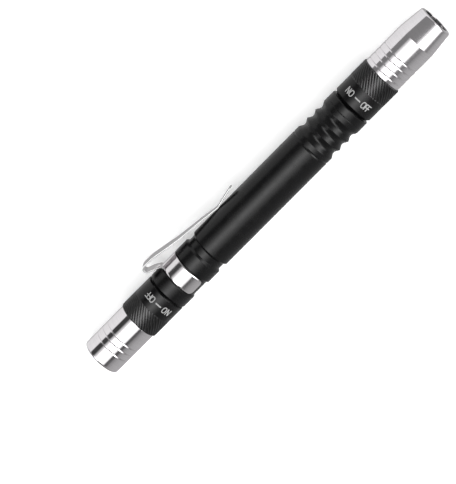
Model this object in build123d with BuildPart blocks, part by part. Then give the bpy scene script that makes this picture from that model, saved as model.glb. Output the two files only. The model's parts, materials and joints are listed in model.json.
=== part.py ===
"""Double-headed pen torch for checking banknotes: an ultraviolet head and a white head on one barrel.

The pen lies along X with the white head towards +X. The pocket clip points along +Y and +Z is up.
Lengths along the pen are stations, in millimetres from the tip of the ultraviolet head.
Each head is drawn once, in its own distance u, which runs outwards from its switch ring's inner edge.
"""

import os
from math import cos, radians, sin, sqrt

from build123d import *

# ---- overall size ----
PEN_LENGTH = 147.6
PEN_RADIUS = 7.0
BEZEL_RADIUS = 6.6
ORIGIN_STATION = 71.4

# ---- barrel: stations and radii ----
UV_SHOULDER = 30.4
WHITE_SHOULDER = 111.0
BORE_RADIUS = 5.45
SPIGOT_RADIUS = 6.2
EDGE = 0.2
CLIP_GROOVE_START = 35.05
CLIP_GROOVE_END = 41.35
CLIP_GROOVE_RADIUS = 6.5
WAIST_START = 46.0
WAIST_END = 49.6
WAIST_CHAMFER = 0.7
WAIST_RADIUS = 6.3
FINE_GROOVE_STATION = 93.6
FINE_GROOVE_WIDTH = 0.8
FINE_GROOVE_DEPTH = 0.2
GRIP_FIRST_STATION = 97.5
GRIP_PITCH = 3.65
GRIP_COUNT = 3
GRIP_RADIUS = 6.16
GRIP_FLOOR_WIDTH = 0.7
SCRIBED_STATION = 108.5
SCRIBED_WIDTH = 0.3
SCRIBED_DEPTH = 0.12

# ---- screw thread between each head and the barrel ----
THREAD_PITCH = 0.75
THREAD_TURNS = 6
THREAD_DEPTH = 0.28
THREAD_LEAD_IN = 1.2
OFF_TURN = 90.0
OFF_ADVANCE = THREAD_PITCH * OFF_TURN / 360.0
NECK_RELIEF_LENGTH = 0.6
NECK_RELIEF_RADIUS = 5.8
NECK_RING_SECTION = 0.5
NECK_RING_CLEARANCE = 0.01
NECK_GROOVE_WIDTH = 0.7
NECK_GROOVE_FROM_SHOULDER = 1.9

# ---- battery: two AAA cells, back to back on a brass disc that bridges the barrel ----
CELL_LENGTH = 44.5
CELL_RADIUS = 5.25
CELL_CAP_RADIUS = 1.9
CELL_CAP_HEIGHT = 0.9
CELL_EDGE = 0.5
DISC_START = 70.2
DISC_THICKNESS = 1.2
SPRING_WIRE_RADIUS = 0.25
SPRING_BASE_RADIUS = 4.0
SPRING_TURNS = 3

# ---- lamp heads, in u from the switch ring's inner edge ----
RING_PLAIN_RADIUS = 6.95
RING_EDGE = 0.3
RING_BORE_RADIUS = 6.25
RING_SEAT_RADIUS = 6.0
RING_SEAT_U = 8.85
SPIGOT_END_U = 8.72
BOARD_FACE_U = 8.75
BOARD_RADIUS = 5.7
BOARD_THICKNESS = 1.2
BOARD_CUP_FLOOR = 0.3
BOARD_CUP_RIM_SET_BACK = 0.3
PAD_RADIUS = 1.8
PAD_HEIGHT = 0.8
PAD_HEAD = 0.25
CONTACT_GAP = 0.02
HOLLOW_RADIUS = 5.3
HOLLOW_CLEARANCE = 0.02
LIP_LENGTH = 0.7
SEAL_SECTION = 0.6
LENS_THICKNESS = 1.2
SLEEVE_WALL = 0.6
HOLDER_LENGTH = 3.2
LED_RADIUS = 2.5
LED_HOLE_RADIUS = 2.55
LED_FLANGE_RADIUS = 2.9
LED_FLANGE_LENGTH = 1.0
LED_BODY_LENGTH = 5.1
LEAD_RADIUS = 0.25
LEAD_SPACING = 2.54
REFLECTOR_RIM = 0.3
REFLECTOR_NECK_SHARE = 0.42
REFLECTOR_BULGE_SHARE = 0.66
COIL_RADIUS = 1.2
COIL_FLANGE_RADIUS = 1.6
COIL_HEIGHT = 2.4
COIL_FLANGE = 0.48
COIL_OFFSET = 2.9
CHIP_SIZE = 1.6
CHIP_HEIGHT = 1.0
GROOVE_WIDTH = 0.5
GROOVE_DEPTH = 0.16
RIM_ROUND = 0.9

# ---- pocket clip: one steel strip, its centre line given as (station, height) from the band to the tip ----
CLIP_THICKNESS = 0.42
CLIP_WIDTH = 5.5
BAND_START = 35.4
BAND_END = 41.0
BAND_INNER_RADIUS = 6.57
BAND_HALF_ANGLE = 137.0
BAND_CORNER = 1.5
RISE_LINE = [(37.0, 6.78), (35.55, 6.78), (34.85, 7.46), (30.42, 9.03), (30.42, 9.75)]
RISE_BENDS = [0.35, 0.35, 1.0]
TONGUE_TOP = [(30.42, 9.76), (30.42, 10.96), (35.0, 10.9)]
TONGUE_SLOPE = [(45.0, 9.13), (54.0, 8.15), (60.5, 7.24), (68.3, 9.05)]
TONGUE_BENDS = [1.1, 8.0, 14.0, 14.0, 3.0]
TONGUE_PLAN = [(29.0, 2.75), (40.0, 2.75), (58.5, 1.4), (69.0, 1.25)]
TIP_CORNER = 1.1
HALF_TURN = 180.0
MATCH = 0.01


def x(station):
    """The X coordinate of a station along the pen."""
    return station - ORIGIN_STATION


class Head:
    """A lamp head's place on the pen, the shape of its nose and how far it is screwed out."""

    def __init__(self, name, inner_edge, outward, screwed_out, front):
        self.name = name
        self.inner_edge = inner_edge
        self.outward = outward
        self.screwed_out = screwed_out
        self.ring_length = front["ring"]
        self.ring_plain_length = front["plain"]
        self.reach = abs((PEN_LENGTH if outward > 0 else 0.0) - inner_edge)
        self.lens_radius = front["bore"] - HOLLOW_CLEARANCE
        self.front_bore = front["bore"]
        self.aperture = front["aperture"]
        self.reflector_length = front["reflector"]
        self.inner_chamfer = front["chamfer"]
        self.grooves = front["grooves"]
        self.taper_length = front["taper"]
        self.rim_radius = front["rim"]

    def x(self, u):
        """The X coordinate at a distance u outwards from the ring's inner edge."""
        return x(self.inner_edge + self.outward * u)

    def outline(self, points):
        """Points (u, radius) of this head as points (X, radius)."""
        return [(self.x(u), radius) for u, radius in points]

    @property
    def seal_u(self):
        return self.reach - LIP_LENGTH - SEAL_SECTION

    @property
    def lens_u(self):
        return self.seal_u - LENS_THICKNESS

    @property
    def reflector_u(self):
        return self.lens_u - self.reflector_length

    @property
    def holder_u(self):
        return self.reflector_u - HOLDER_LENGTH

    @property
    def cup_u(self):
        return BOARD_FACE_U + BOARD_THICKNESS + BOARD_CUP_FLOOR

    @property
    def cell_tip(self):
        """The station where the cell's cap meets this head's contact pad."""
        return self.inner_edge + self.outward * (BOARD_FACE_U - PAD_HEIGHT - CONTACT_GAP)


UV = Head(
    "uv",
    inner_edge=29.7,
    outward=-1,
    screwed_out=0.0,
    front={
        "ring": 12.6,
        "plain": 6.2,
        "bore": HOLLOW_RADIUS,
        "aperture": 4.7,
        "reflector": 8.0,
        "chamfer": 0.15,
        "grooves": [10.05, 7.75, 5.4],
        "taper": 1.5,
        "rim": BEZEL_RADIUS,
    },
)
WHITE = Head(
    "white",
    inner_edge=111.6,
    outward=1,
    screwed_out=OFF_ADVANCE,
    front={
        "ring": 13.1,
        "plain": 6.7,
        "bore": 4.95,
        "aperture": 4.3,
        "reflector": 7.6,
        "chamfer": 0.55,
        "grooves": [21.5, 19.4, 17.3, 15.25],
        "taper": 8.4,
        "rim": 5.7,
    },
)
HEADS = (UV, WHITE)


def face_of(points):
    """A closed face in the XY plane."""
    with BuildSketch(Plane.XY) as sketch:
        with BuildLine():
            Polyline(*points, close=True)
        make_face()
    return sketch.sketch


def turned(label, points):
    """A turned piece: a closed outline of (X, radius) points revolved about the pen's axis."""
    with BuildPart() as piece:
        revolve(face_of(points), axis=Axis.X)
    piece.part.label = label
    return piece


def groove(centre, width, depth, radius):
    """Outline points of a shallow V groove in a wall of the given radius."""
    return [
        (centre - width / 2, radius),
        (centre, radius - depth),
        (centre + width / 2, radius),
    ]


def thread_points(start, step):
    """Outline points of the thread's ridges, running from start by one pitch a turn."""
    points = []
    for turn in range(THREAD_TURNS):
        crest = start + step * turn
        points += [
            (crest, SPIGOT_RADIUS),
            (crest + step / 2, SPIGOT_RADIUS - THREAD_DEPTH),
        ]
    return points + [(start + step * THREAD_TURNS, SPIGOT_RADIUS)]


def neck_groove(shoulder, outward):
    """Outline points of a neck's sealing ring groove, listed outwards from the shoulder."""
    floor = SPIGOT_RADIUS - NECK_RING_SECTION
    near = shoulder + outward * NECK_GROOVE_FROM_SHOULDER
    far = near + outward * NECK_GROOVE_WIDTH
    return [(near, SPIGOT_RADIUS), (near, floor), (far, floor), (far, SPIGOT_RADIUS)]


def spigot_points(head, shoulder):
    """Outline points of a threaded neck, from its relief at the barrel's shoulder out to its bore."""
    out = head.outward
    end = head.inner_edge + out * (SPIGOT_END_U - head.screwed_out)
    first_crest = end - out * (THREAD_LEAD_IN + THREAD_TURNS * THREAD_PITCH)
    return [
        (shoulder, PEN_RADIUS - EDGE),
        (shoulder, NECK_RELIEF_RADIUS),
        (shoulder + out * NECK_RELIEF_LENGTH, SPIGOT_RADIUS),
        *neck_groove(shoulder, out),
        *thread_points(first_crest, out * THREAD_PITCH),
        (end - out * EDGE, SPIGOT_RADIUS),
        (end, SPIGOT_RADIUS - EDGE),
        (end, BORE_RADIUS),
    ]


def grip_points():
    """Outline points of the three V grooves of the grip, which meet in sharp ridges."""
    points = []
    for number in range(GRIP_COUNT):
        centre = GRIP_FIRST_STATION + number * GRIP_PITCH
        points += [
            (centre - GRIP_PITCH / 2, PEN_RADIUS),
            (centre - GRIP_FLOOR_WIDTH / 2, GRIP_RADIUS),
            (centre + GRIP_FLOOR_WIDTH / 2, GRIP_RADIUS),
        ]
    return points + [(GRIP_FIRST_STATION + (GRIP_COUNT - 0.5) * GRIP_PITCH, PEN_RADIUS)]


def make_barrel_tube():
    """The barrel: a tube with a clip groove, a waist, a grooved grip and a threaded neck at each end."""
    body = [
        (UV_SHOULDER + EDGE, PEN_RADIUS),
        (CLIP_GROOVE_START - EDGE, PEN_RADIUS),
        (CLIP_GROOVE_START, PEN_RADIUS - EDGE),
        (CLIP_GROOVE_START, CLIP_GROOVE_RADIUS),
        (CLIP_GROOVE_END, CLIP_GROOVE_RADIUS),
        (CLIP_GROOVE_END, PEN_RADIUS - EDGE),
        (CLIP_GROOVE_END + EDGE, PEN_RADIUS),
        (WAIST_START, PEN_RADIUS),
        (WAIST_START + WAIST_CHAMFER, WAIST_RADIUS),
        (WAIST_END - WAIST_CHAMFER, WAIST_RADIUS),
        (WAIST_END, PEN_RADIUS),
        *groove(FINE_GROOVE_STATION, FINE_GROOVE_WIDTH, FINE_GROOVE_DEPTH, PEN_RADIUS),
        *grip_points(),
        *groove(SCRIBED_STATION, SCRIBED_WIDTH, SCRIBED_DEPTH, PEN_RADIUS),
        (WHITE_SHOULDER - EDGE, PEN_RADIUS),
    ]
    uv_neck = spigot_points(UV, UV_SHOULDER)
    white_neck = spigot_points(WHITE, WHITE_SHOULDER)
    stations = uv_neck[::-1] + body + white_neck
    return turned("barrel_tube", [(x(station), radius) for station, radius in stations])


def make_center_disc():
    """The brass disc pressed in mid-barrel: both cells' negative ends reach the tube through it."""
    end = DISC_START + DISC_THICKNESS
    outline = [(DISC_START, 0), (DISC_START, BORE_RADIUS), (end, BORE_RADIUS), (end, 0)]
    return turned("center_disc", [(x(station), radius) for station, radius in outline])


def make_cell_spring(head):
    """A coil spring between the brass disc and a cell's negative end, closed up by the cell."""
    disc_face = DISC_START if head.outward < 0 else DISC_START + DISC_THICKNESS
    cell_base = head.cell_tip - head.outward * CELL_LENGTH
    height = abs(disc_face - cell_base) - 2 * SPRING_WIRE_RADIUS
    start = Vector(x(disc_face) + head.outward * SPRING_WIRE_RADIUS, 0, 0)
    coil = Helix(
        pitch=height / SPRING_TURNS,
        height=height,
        radius=SPRING_BASE_RADIUS,
        center=start,
        direction=(head.outward, 0, 0),
    )
    with BuildPart() as spring:
        with BuildLine():
            add(coil)
        with BuildSketch(Plane(origin=coil @ 0, z_dir=coil % 0)):
            Circle(SPRING_WIRE_RADIUS)
        sweep(path=coil)
    spring.part.label = f"{head.name}_cell_spring"
    return spring


def make_neck_ring(head, shoulder):
    """The rubber ring in a neck's groove, which seals against the switch ring's bore."""
    middle = shoulder + head.outward * (NECK_GROOVE_FROM_SHOULDER + NECK_GROOVE_WIDTH / 2)
    radius = SPIGOT_RADIUS - NECK_RING_SECTION / 2 + NECK_RING_CLEARANCE
    with BuildPart() as ring:
        with BuildSketch(Plane.XY):
            with Locations((x(middle), radius)):
                Circle(NECK_RING_SECTION / 2)
        revolve(axis=Axis.X)
    ring.part.label = f"{head.name}_neck_seal"
    return ring


def make_cell(head):
    """An AAA cell: its can, with the positive cap towards the head."""
    out = head.outward
    base = head.cell_tip - out * CELL_LENGTH
    shoulder = head.cell_tip - out * CELL_CAP_HEIGHT
    outline = [
        (base, 0),
        (base, CELL_RADIUS - CELL_EDGE),
        (base + out * CELL_EDGE, CELL_RADIUS),
        (shoulder - out * CELL_EDGE, CELL_RADIUS),
        (shoulder, CELL_RADIUS - CELL_EDGE),
        (shoulder, 0),
    ]
    return turned(f"{head.name}_cell", [(x(station), radius) for station, radius in outline])


def make_cell_cap(head):
    """The positive cap of a cell."""
    shoulder = head.cell_tip - head.outward * CELL_CAP_HEIGHT
    outline = [
        (shoulder, 0),
        (shoulder, CELL_CAP_RADIUS),
        (head.cell_tip, CELL_CAP_RADIUS),
        (head.cell_tip, 0),
    ]
    return turned(f"{head.name}_cell_cap", [(x(station), radius) for station, radius in outline])


def make_switch_ring(head):
    """The knurled ring that is twisted to switch the head: it screws on the barrel's neck."""
    outline = [
        (0, RING_BORE_RADIUS),
        (0, RING_PLAIN_RADIUS - head.inner_chamfer),
        (head.inner_chamfer, RING_PLAIN_RADIUS),
        (head.ring_plain_length, RING_PLAIN_RADIUS),
        (head.ring_plain_length, PEN_RADIUS),
        (head.ring_length - RING_EDGE, PEN_RADIUS),
        (head.ring_length, PEN_RADIUS - RING_EDGE),
        (head.ring_length, RING_SEAT_RADIUS),
        (RING_SEAT_U, RING_SEAT_RADIUS),
        (RING_SEAT_U, RING_BORE_RADIUS),
    ]
    return turned(f"{head.name}_switch_ring", head.outline(outline))


def make_bezel(head):
    """The bare aluminium nose: its tail is pressed into the switch ring and its lip holds the lens."""
    rings = []
    for from_tip in head.grooves:
        rings += groove(head.reach - from_tip, GROOVE_WIDTH, GROOVE_DEPTH, BEZEL_RADIUS)
    lip_u = head.reach - LIP_LENGTH
    step_u = head.reflector_u + HOLLOW_CLEARANCE
    outline = [
        (head.cup_u, HOLLOW_RADIUS),
        (head.cup_u, RING_SEAT_RADIUS),
        (head.ring_length, RING_SEAT_RADIUS),
        (head.ring_length, BEZEL_RADIUS),
        *rings,
        (head.reach - head.taper_length, BEZEL_RADIUS),
        (head.reach, head.rim_radius),
        (head.reach, head.aperture),
        (lip_u, head.aperture),
        (lip_u, head.front_bore),
    ]
    if head.front_bore < HOLLOW_RADIUS:
        outline += [(step_u, head.front_bore), (step_u, HOLLOW_RADIUS)]
    with BuildPart() as bezel:
        revolve(face_of(head.outline(outline)), axis=Axis.X)
        front = bezel.faces().filter_by(Axis.X).sort_by(Axis.X)[-1 if head.outward > 0 else 0]
        fillet(front.edges().sort_by(SortBy.RADIUS)[-1], RIM_ROUND)
    bezel.part.label = f"{head.name}_bezel"
    return bezel


def make_lens_seal(head):
    """The rubber ring between the bezel's lip and the lens."""
    radius = head.lens_radius - SEAL_SECTION / 2
    with BuildPart() as seal:
        with BuildSketch(Plane.XY):
            with Locations((head.x(head.seal_u + SEAL_SECTION / 2), radius)):
                Circle(SEAL_SECTION / 2)
        revolve(axis=Axis.X)
    seal.part.label = f"{head.name}_lens_seal"
    return seal


def make_lens(head):
    """The clear disc that closes the nose."""
    outline = [
        (head.lens_u, 0),
        (head.lens_u, head.lens_radius),
        (head.seal_u, head.lens_radius),
        (head.seal_u, 0),
    ]
    return turned(f"{head.name}_lens", head.outline(outline))


def make_reflector(head):
    """The plated cup round the lamp: a bowl that opens to the lens."""
    rim = head.lens_radius - REFLECTOR_RIM
    neck_u = head.reflector_u + head.reflector_length * REFLECTOR_NECK_SHARE
    middle_u = (neck_u + head.lens_u) / 2
    middle = LED_HOLE_RADIUS + (rim - LED_HOLE_RADIUS) * REFLECTOR_BULGE_SHARE
    with BuildPart() as reflector:
        with BuildSketch(Plane.XY):
            with BuildLine():
                Polyline(
                    (head.x(head.lens_u), rim),
                    (head.x(head.lens_u), head.lens_radius),
                    (head.x(head.reflector_u), head.lens_radius),
                    (head.x(head.reflector_u), LED_HOLE_RADIUS),
                    (head.x(neck_u), LED_HOLE_RADIUS),
                )
                ThreePointArc(
                    (head.x(neck_u), LED_HOLE_RADIUS),
                    (head.x(middle_u), middle),
                    (head.x(head.lens_u), rim),
                )
            make_face()
        revolve(axis=Axis.X)
    reflector.part.label = f"{head.name}_reflector"
    return reflector


def make_led(head):
    """A 5 mm lamp: domed body, flange, and two leads that run back to the driver board."""
    flange_u = head.reflector_u - LED_FLANGE_LENGTH
    dome_u = head.reflector_u + LED_BODY_LENGTH
    board_back = BOARD_FACE_U + BOARD_THICKNESS
    side = LED_RADIUS * sqrt(0.5)
    with BuildPart() as led:
        with BuildSketch(Plane.XY):
            with BuildLine():
                Polyline(
                    (head.x(dome_u + LED_RADIUS), 0),
                    (head.x(flange_u), 0),
                    (head.x(flange_u), LED_FLANGE_RADIUS),
                    (head.x(head.reflector_u), LED_FLANGE_RADIUS),
                    (head.x(head.reflector_u), LED_RADIUS),
                    (head.x(dome_u), LED_RADIUS),
                )
                ThreePointArc(
                    (head.x(dome_u), LED_RADIUS),
                    (head.x(dome_u + side), side),
                    (head.x(dome_u + LED_RADIUS), 0),
                )
            make_face()
        revolve(axis=Axis.X)
        with BuildSketch(Plane.YZ.offset(head.x(board_back))):
            with GridLocations(0, LEAD_SPACING, 1, 2):
                Circle(LEAD_RADIUS)
        extrude(amount=head.outward * (flange_u - board_back))
    led.part.label = f"{head.name}_led"
    return led


def make_led_holder(head):
    """The black plastic cup that holds the lamp's flange against the reflector."""
    flange_u = head.reflector_u - LED_FLANGE_LENGTH - HOLLOW_CLEARANCE
    flange_hole = LED_FLANGE_RADIUS + HOLLOW_CLEARANCE
    radius = HOLLOW_RADIUS - HOLLOW_CLEARANCE
    with BuildPart() as holder:
        outline = [
            (head.holder_u, 0),
            (head.holder_u, radius),
            (head.reflector_u, radius),
            (head.reflector_u, flange_hole),
            (flange_u, flange_hole),
            (flange_u, 0),
        ]
        revolve(face_of(head.outline(outline)), axis=Axis.X)
        with BuildSketch(Plane.YZ.offset(head.x(head.holder_u))):
            with GridLocations(0, LEAD_SPACING, 1, 2):
                Circle(LEAD_RADIUS + HOLLOW_CLEARANCE)
        extrude(amount=HOLDER_LENGTH, both=True, mode=Mode.SUBTRACT)
    holder.part.label = f"{head.name}_led_holder"
    return holder


def make_spacer_sleeve(head):
    """The plastic tube that keeps the lamp forward and its leads off the bezel."""
    radius = HOLLOW_RADIUS - HOLLOW_CLEARANCE
    outline = [
        (head.cup_u, radius - SLEEVE_WALL),
        (head.cup_u, radius),
        (head.holder_u, radius),
        (head.holder_u, radius - SLEEVE_WALL),
    ]
    return turned(f"{head.name}_spacer_sleeve", head.outline(outline))


def make_board_cup(head):
    """The plastic cup that keeps the driver board off the head's metal."""
    radius = RING_SEAT_RADIUS - HOLLOW_CLEARANCE
    floor_u = BOARD_FACE_U + BOARD_THICKNESS
    rim_u = BOARD_FACE_U + BOARD_CUP_RIM_SET_BACK
    outline = [
        (head.cup_u, HOLLOW_RADIUS - SLEEVE_WALL),
        (head.cup_u, radius),
        (rim_u, radius),
        (rim_u, BOARD_RADIUS),
        (floor_u, BOARD_RADIUS),
        (floor_u, HOLLOW_RADIUS - SLEEVE_WALL),
    ]
    return turned(f"{head.name}_board_cup", head.outline(outline))


def make_driver_board(head):
    """The round driver board: the neck's bare end touches its edge when the head is screwed in."""
    board_back = BOARD_FACE_U + BOARD_THICKNESS
    with BuildPart() as board:
        outline = [
            (BOARD_FACE_U, 0),
            (BOARD_FACE_U, BOARD_RADIUS),
            (board_back, BOARD_RADIUS),
            (board_back, 0),
        ]
        revolve(face_of(head.outline(outline)), axis=Axis.X)
        with BuildSketch(Plane.YZ.offset(head.x(BOARD_FACE_U))):
            Circle(PAD_RADIUS / 2)
        extrude(amount=BOARD_THICKNESS, both=True, mode=Mode.SUBTRACT)
    board.part.label = f"{head.name}_driver_board"
    return board


def make_contact_pad(head):
    """The brass rivet in the board's centre that the cell's cap presses on."""
    tip_u = BOARD_FACE_U - PAD_HEIGHT
    back_u = BOARD_FACE_U + BOARD_THICKNESS
    outline = [
        (tip_u, 0),
        (tip_u, PAD_RADIUS - PAD_HEAD),
        (tip_u + PAD_HEAD, PAD_RADIUS),
        (BOARD_FACE_U, PAD_RADIUS),
        (BOARD_FACE_U, PAD_RADIUS / 2),
        (back_u, PAD_RADIUS / 2),
        (back_u, 0),
    ]
    return turned(f"{head.name}_contact_pad", head.outline(outline))


def make_inductor(head):
    """The driver's coil: a flanged drum on the board."""
    board_back = BOARD_FACE_U + BOARD_THICKNESS
    far_flange = COIL_HEIGHT - COIL_FLANGE
    drum = [(0, COIL_FLANGE_RADIUS), (COIL_FLANGE, COIL_RADIUS), (far_flange, COIL_FLANGE_RADIUS)]
    lengths = [COIL_FLANGE, far_flange - COIL_FLANGE, COIL_FLANGE]
    with BuildPart() as coil:
        for (height, radius), length in zip(drum, lengths):
            start = head.x(board_back + height)
            with BuildSketch(Plane.YZ.offset(start)):
                with Locations((COIL_OFFSET, 0)):
                    Circle(radius)
            extrude(amount=head.outward * length)
    coil.part.label = f"{head.name}_inductor"
    return coil


def make_driver_chip(head):
    """The driver's chip, soldered beside the coil."""
    board_back = BOARD_FACE_U + BOARD_THICKNESS
    with BuildPart() as chip:
        with BuildSketch(Plane.YZ.offset(head.x(board_back))):
            with Locations((-COIL_OFFSET, 0)):
                Rectangle(CHIP_SIZE, CHIP_SIZE)
        extrude(amount=head.outward * CHIP_HEIGHT)
    chip.part.label = f"{head.name}_driver_chip"
    return chip


def strip(centre_line, bends):
    """A length of the clip's strip: its centre line, with a radius at each bend, made solid."""
    points = [(x(station), height) for station, height in centre_line]
    with BuildPart() as piece:
        with BuildSketch(Plane.XY):
            with BuildLine():
                FilletPolyline(*points, radius=bends)
            trace(line_width=CLIP_THICKNESS)
        extrude(amount=CLIP_WIDTH / 2, both=True)
    return piece.part


def spans_thickness(edge):
    """Whether an edge runs straight through the strip's thickness."""
    return abs(edge.length - CLIP_THICKNESS) < MATCH


def make_clip_band():
    """The clip's open band, with the strip that leaves its edge and rises to the bend."""
    outer = BAND_INNER_RADIUS + CLIP_THICKNESS
    with BuildPart() as band:
        with BuildSketch(Plane.YZ.offset(x(BAND_START))):
            Circle(outer)
            Circle(BAND_INNER_RADIUS, mode=Mode.SUBTRACT)
            gap_edge = [
                (2 * outer * cos(radians(angle)), 2 * outer * sin(radians(angle)))
                for angle in (BAND_HALF_ANGLE, HALF_TURN, -BAND_HALF_ANGLE)
            ]
            with BuildLine():
                Polyline((0, 0), *gap_edge, close=True)
            make_face(mode=Mode.SUBTRACT)
        extrude(amount=BAND_END - BAND_START)
        fillet(band.edges().filter_by(spans_thickness), BAND_CORNER)
        add(strip(RISE_LINE, RISE_BENDS))
    band.part.label = "clip_band"
    return band


def make_clip_tongue():
    """The sprung tongue: from the bend it narrows and slopes down to the barrel, and its tip turns up."""
    near_side = [(x(station), half_width) for station, half_width in TONGUE_PLAN]
    far_side = [(place, -half_width) for place, half_width in reversed(near_side)]
    with BuildPart() as tongue:
        add(strip(TONGUE_TOP + TONGUE_SLOPE, TONGUE_BENDS))
        with BuildSketch(Plane.XZ):
            with BuildLine():
                Polyline(*near_side, *far_side, close=True)
            make_face()
        extrude(amount=2 * PEN_RADIUS, both=True, mode=Mode.INTERSECT)
        tip = tongue.faces().sort_by(Axis.X)[-1]
        fillet(tip.edges().filter_by(spans_thickness), TIP_CORNER)
    tongue.part.label = "clip_tongue"
    return tongue


def main():
    os.makedirs("parts", exist_ok=True)
    pieces = [make_barrel_tube(), make_center_disc(), make_clip_band(), make_clip_tongue()]
    for head, shoulder in zip(HEADS, (UV_SHOULDER, WHITE_SHOULDER)):
        pieces += [
            make_cell_spring(head),
            make_neck_ring(head, shoulder),
            make_cell(head),
            make_cell_cap(head),
            make_switch_ring(head),
            make_bezel(head),
            make_lens_seal(head),
            make_lens(head),
            make_reflector(head),
            make_led(head),
            make_led_holder(head),
            make_spacer_sleeve(head),
            make_board_cup(head),
            make_driver_board(head),
            make_contact_pad(head),
            make_inductor(head),
            make_driver_chip(head),
        ]
    for piece in pieces:
        export_step(piece.part, f"parts/{piece.part.label}.step")


main()
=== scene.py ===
"""The looks of a double-headed pen torch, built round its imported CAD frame.

The pen lies along X, its white head towards +X, its pocket clip towards +Y and +Z up.
Outlines are lists of (x, radius) in metres. Places come from the frame's boxes.
"""

import json
from math import cos, pi, radians, sin, sqrt, tan

import bmesh
import bpy
import numpy as np
from mathutils import Matrix, Vector


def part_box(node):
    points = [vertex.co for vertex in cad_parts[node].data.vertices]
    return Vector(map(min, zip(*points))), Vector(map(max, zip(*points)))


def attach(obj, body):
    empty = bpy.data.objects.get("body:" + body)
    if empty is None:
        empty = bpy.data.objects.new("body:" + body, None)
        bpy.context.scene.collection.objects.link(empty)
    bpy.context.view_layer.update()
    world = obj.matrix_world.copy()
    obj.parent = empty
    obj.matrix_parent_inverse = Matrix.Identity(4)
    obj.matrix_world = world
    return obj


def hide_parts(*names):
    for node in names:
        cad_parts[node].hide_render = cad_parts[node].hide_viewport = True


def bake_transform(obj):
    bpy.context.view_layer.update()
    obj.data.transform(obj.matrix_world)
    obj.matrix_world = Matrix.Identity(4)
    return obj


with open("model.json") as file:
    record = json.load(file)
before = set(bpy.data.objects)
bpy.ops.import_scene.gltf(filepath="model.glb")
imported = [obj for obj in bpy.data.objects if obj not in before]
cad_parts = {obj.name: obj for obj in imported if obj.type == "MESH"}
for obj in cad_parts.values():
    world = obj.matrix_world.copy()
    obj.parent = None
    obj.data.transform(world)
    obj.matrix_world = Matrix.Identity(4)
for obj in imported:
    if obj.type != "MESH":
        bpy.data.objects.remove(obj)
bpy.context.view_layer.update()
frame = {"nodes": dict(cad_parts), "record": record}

MM = 0.001
SEGMENTS = 192
CORNER = 0.06 * MM
CORNER_STEPS = 4
ROUND_STEP = radians(14)
ALMOST_STRAIGHT = radians(2)
ROUNDABLE_SHARE = 0.48
ON_AXIS = 1e-7


# ---------- the frame's sizes


def span(node):
    """A node's lowest and highest X."""
    low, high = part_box(node)
    return low.x, high.x


def radius_of(node):
    """A turned node's outer radius."""
    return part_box(node)[1].z


BARREL_LOW, BARREL_HIGH = span("barrel_tube")
UV_TIP = span("uv_bezel")[0]
PEN_RADIUS = radius_of("barrel_tube")
BEZEL_RADIUS = radius_of("uv_bezel")
BAND_HIGH = span("clip_band")[1]
BAND_WIDTH = 5.6 * MM
BAND_LOW = BAND_HIGH - BAND_WIDTH


def at(station):
    """The X of a station in millimetres from the ultraviolet head's tip."""
    return UV_TIP + station * MM


class Head:
    """One lamp head: u runs outwards along the pen from its switch ring's inner edge."""

    def __init__(self, name, outward):
        self.name = name
        self.body = f"{name}_head"
        self.outward = outward
        self.inner_edge = span(f"{name}_switch_ring")[0 if outward > 0 else 1]
        self.ring_length = self.far("switch_ring")
        self.reach = self.far("bezel")

    def place(self, u):
        """The X of a distance u."""
        return self.inner_edge + self.outward * u

    def near(self, piece):
        """Where a piece of this head starts, in u."""
        return min((x - self.inner_edge) * self.outward for x in span(f"{self.name}_{piece}"))

    def far(self, piece):
        """Where a piece of this head ends, in u."""
        return max((x - self.inner_edge) * self.outward for x in span(f"{self.name}_{piece}"))

    def outline(self, points):
        """This head's points (u, radius, ...) as points (x, radius, ...)."""
        return [(self.place(point[0]), *point[1:]) for point in points]


UV = Head("uv", -1)
WHITE = Head("white", 1)


# ---------- materials

LABEL_BAND_LENGTH = 9.0 * MM
LABEL_BAND_EDGE = 0.2 * MM


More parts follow.
